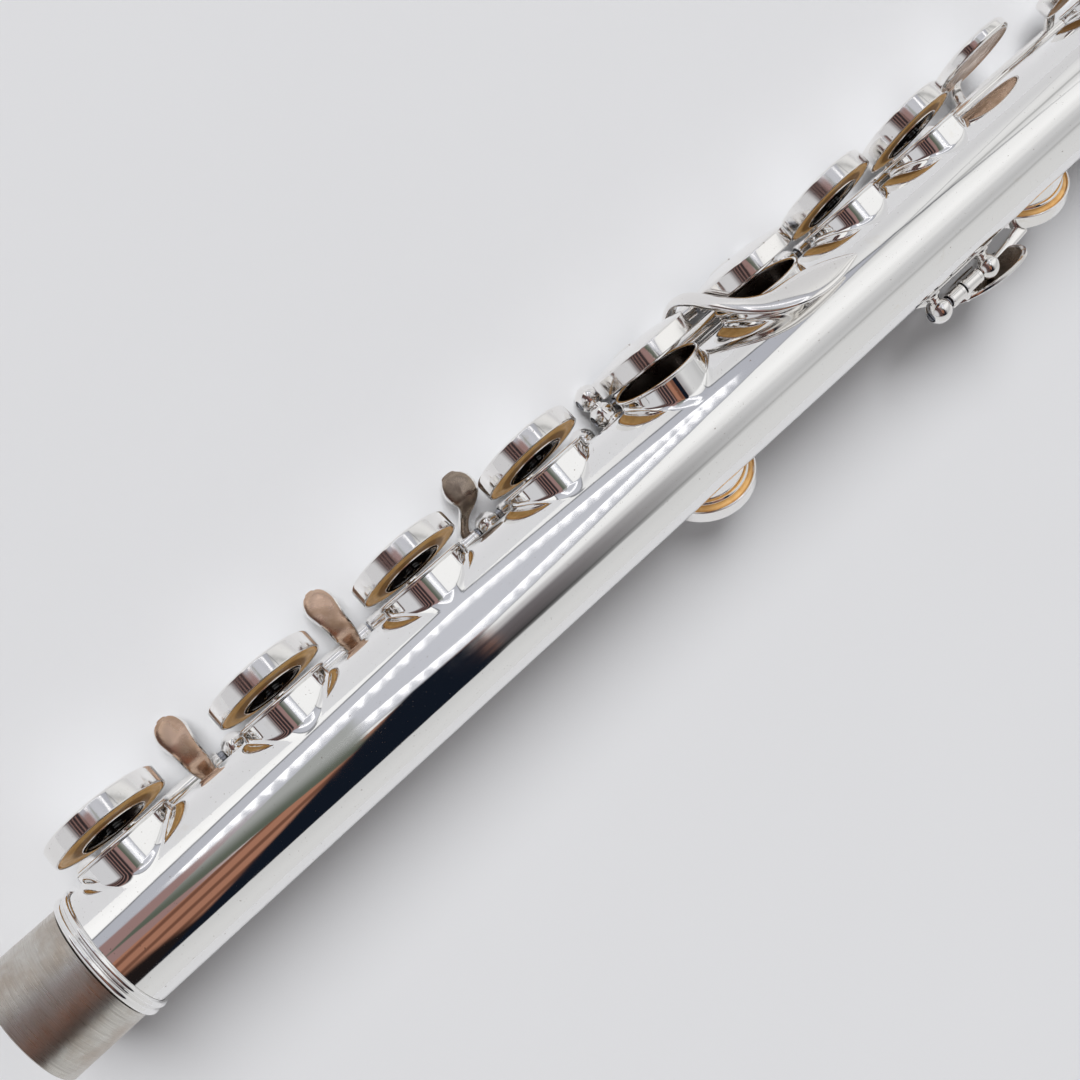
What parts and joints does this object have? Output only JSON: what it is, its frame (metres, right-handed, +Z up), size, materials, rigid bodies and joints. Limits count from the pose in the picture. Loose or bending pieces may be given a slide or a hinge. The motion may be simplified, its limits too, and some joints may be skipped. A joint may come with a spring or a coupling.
{
  "type": "concert flute body joint",
  "caption": "Body joint of a silver-plated concert flute: drawn tone holes, offset G keys and closed-hole key cups on hinged rods.",
  "frame": {"origin": "middle of the footprint, on the surface that the flute lies on", "axes": "+X along the bore from the foot tenon to the head socket, +Z up, +Y towards the main keys"},
  "size_m": [0.3556, 0.0378, 0.028],
  "materials": {
    "tube_silver": "polished silver plate",
    "key_silver": "polished silver plate with light tarnish",
    "worn_tenon": "satin, worn by the foot joint",
    "blued_steel": "polished steel",
    "pad_washer": "polished, dark",
    "pad_skin": "fish skin over felt"
  },
  "bodies": {
    "flute_body": {"a_spring": "blued_steel", "body_tube": "tube_silver", "c_sharp_spring": "blued_steel", "d_spring": "blued_steel", "e_spring": "blued_steel", "f_spring": "blued_steel", "foot_tenon": "worn_tenon", "g_sharp_foot_post": "key_silver", "g_sharp_head_post": "key_silver", "g_sharp_lever_steel": "blued_steel", "g_sharp_steel": "blued_steel", "head_barrel": "key_silver", "lower_rib": "key_silver", "lower_steel": "blued_steel", "offset_rib": "key_silver", "offset_steel": "blued_steel", "tenon_ring": "key_silver", "thumb_rib": "key_silver", "thumb_steel": "blued_steel", "trill_rib": "key_silver", "upper_rib": "key_silver", "upper_steel": "blued_steel"},
    "d_key_body": {"d_key": "key_silver", "d_pad": "pad_skin", "d_pad_washer": "pad_washer"},
    "e_key_body": {"e_key": "key_silver", "e_pad": "pad_skin", "e_pad_washer": "pad_washer"},
    "f_key_body": {"f_key": "key_silver", "f_pad": "pad_skin", "f_pad_washer": "pad_washer"},
    "f_sharp_key_body": {"f_sharp_key": "key_silver", "f_sharp_pad": "pad_skin", "f_sharp_pad_washer": "pad_washer"},
    "g_key_body": {"g_key": "key_silver", "g_lower_pad": "pad_skin", "g_lower_pad_washer": "pad_washer", "g_upper_pad": "pad_skin", "g_upper_pad_washer": "pad_washer"},
    "a_key_body": {"a_key": "key_silver", "a_pad": "pad_skin", "a_pad_washer": "pad_washer"},
    "a_sharp_key_body": {"a_sharp_key": "key_silver", "a_sharp_pad": "pad_skin", "a_sharp_pad_washer": "pad_washer"},
    "c_sharp_key_body": {"c_sharp_key": "key_silver", "c_sharp_pad": "pad_skin"},
    "g_sharp_lever_body": {"g_sharp_lever": "key_silver"},
    "g_sharp_key_body": {"g_sharp_key": "key_silver", "g_sharp_pad": "pad_skin", "g_sharp_pad_washer": "pad_washer"},
    "thumb_b_key_body": {"thumb_b_key": "key_silver", "thumb_pad": "pad_skin", "thumb_pad_washer": "pad_washer"},
    "thumb_b_flat_lever_body": {"thumb_b_flat_lever": "key_silver"},
    "d_trill_key_body": {"d_trill_key": "key_silver", "d_trill_pad": "pad_skin"},
    "d_sharp_trill_key_body": {"d_sharp_trill_key": "key_silver", "d_sharp_trill_pad": "pad_skin"},
    "b_flat_lever_body": {"b_flat_lever": "key_silver"}
  },
  "joints": [
    {"name": "d_key_hinge", "type": "hinge", "parent": "flute_body", "child": "d_key_body", "pos_m": [-0.14665, 0.00456, 0.00259], "axis": [1, 0, 0], "range_deg": [0, 9.5], "stiffness_Nm_per_rad": 0.02, "springref_deg": -8.59},
    {"name": "e_key_hinge", "type": "hinge", "parent": "flute_body", "child": "e_key_body", "pos_m": [-0.11765, 0.00456, 0.00259], "axis": [1, 0, 0], "range_deg": [0, 9.5], "stiffness_Nm_per_rad": 0.02, "springref_deg": -8.59},
    {"name": "f_key_hinge", "type": "hinge", "parent": "flute_body", "child": "f_key_body", "pos_m": [-0.09535, 0.00456, 0.00259], "axis": [1, 0, 0], "range_deg": [0, 9.5], "stiffness_Nm_per_rad": 0.02, "springref_deg": -8.59},
    {"name": "f_sharp_key_hinge", "type": "hinge", "parent": "flute_body", "child": "f_sharp_key_body", "pos_m": [-0.06845, 0.00456, 0.00259], "axis": [1, 0, 0], "range_deg": [0, 9.5], "stiffness_Nm_per_rad": 0.01, "springref_deg": -8.59},
    {"name": "g_key_hinge", "type": "hinge", "parent": "flute_body", "child": "g_key_body", "pos_m": [-0.03225, 0.00667, 0.00431], "axis": [1, 0, 0], "range_deg": [0, 9.5], "stiffness_Nm_per_rad": 0.02, "springref_deg": -8.59},
    {"name": "a_key_hinge", "type": "hinge", "parent": "flute_body", "child": "a_key_body", "pos_m": [0.00255, 0.00456, 0.00259], "axis": [1, 0, 0], "range_deg": [0, 9.5], "stiffness_Nm_per_rad": 0.02, "springref_deg": -8.59},
    {"name": "a_sharp_key_hinge", "type": "hinge", "parent": "flute_body", "child": "a_sharp_key_body", "pos_m": [0.01925, 0.00456, 0.00259], "axis": [1, 0, 0], "range_deg": [0, 9.5], "stiffness_Nm_per_rad": 0.01, "springref_deg": -8.59},
    {"name": "c_sharp_key_hinge", "type": "hinge", "parent": "flute_body", "child": "c_sharp_key_body", "pos_m": [0.05475, 0.00456, 0.00259], "axis": [1, 0, 0], "range_deg": [0, 9.5], "stiffness_Nm_per_rad": 0.02, "springref_deg": -8.59},
    {"name": "g_sharp_lever_hinge", "type": "hinge", "parent": "flute_body", "child": "g_sharp_lever_body", "pos_m": [-0.03275, 0.00983, 0.00237], "axis": [1, 0, 0], "range_deg": [0, 6], "stiffness_Nm_per_rad": 0.02, "springref_deg": -8.59},
    {"name": "g_sharp_key_hinge", "type": "hinge", "parent": "flute_body", "child": "g_sharp_key_body", "pos_m": [-0.04305, -0.0036, 0.00287], "axis": [1, 0, 0], "range_deg": [0, 8.1], "stiffness_Nm_per_rad": 0.01, "springref_deg": -8.59},
    {"name": "thumb_b_key_hinge", "type": "hinge", "parent": "flute_body", "child": "thumb_b_key_body", "pos_m": [0.01485, -0.01501, 0.01749], "axis": [1, 0, 0], "range_deg": [-8, 0], "stiffness_Nm_per_rad": 0.006, "springref_deg": -8.02},
    {"name": "thumb_b_flat_lever_hinge", "type": "hinge", "parent": "flute_body", "child": "thumb_b_flat_lever_body", "pos_m": [0.01065, -0.01501, 0.01749], "axis": [1, 0, 0], "range_deg": [0, 6], "stiffness_Nm_per_rad": 0.02, "springref_deg": -8.59},
    {"name": "d_trill_key_hinge", "type": "hinge", "parent": "flute_body", "child": "d_trill_key_body", "pos_m": [-0.01065, 0.00049, 0.00253], "axis": [1, 0, 0], "range_deg": [0, 7], "stiffness_Nm_per_rad": 0.02, "springref_deg": -8.59},
    {"name": "d_sharp_trill_key_hinge", "type": "hinge", "parent": "flute_body", "child": "d_sharp_trill_key_body", "pos_m": [-0.01925, 0.00049, 0.00253], "axis": [1, 0, 0], "range_deg": [0, 7], "stiffness_Nm_per_rad": 0.02, "springref_deg": -8.59},
    {"name": "b_flat_lever_hinge", "type": "hinge", "parent": "flute_body", "child": "b_flat_lever_body", "pos_m": [-0.08365, 0.00456, 0.00259], "axis": [1, 0, 0], "range_deg": [0, 6], "stiffness_Nm_per_rad": 0.02, "springref_deg": -8.59}
  ],
  "couplings": [
    {"joint": "f_sharp_key_hinge", "follows": "f_key_hinge", "ratio": 1},
    {"joint": "a_sharp_key_hinge", "follows": "a_key_hinge", "ratio": 1},
    {"joint": "g_sharp_key_hinge", "follows": "g_sharp_lever_hinge", "ratio": 1.3333}
  ]
}
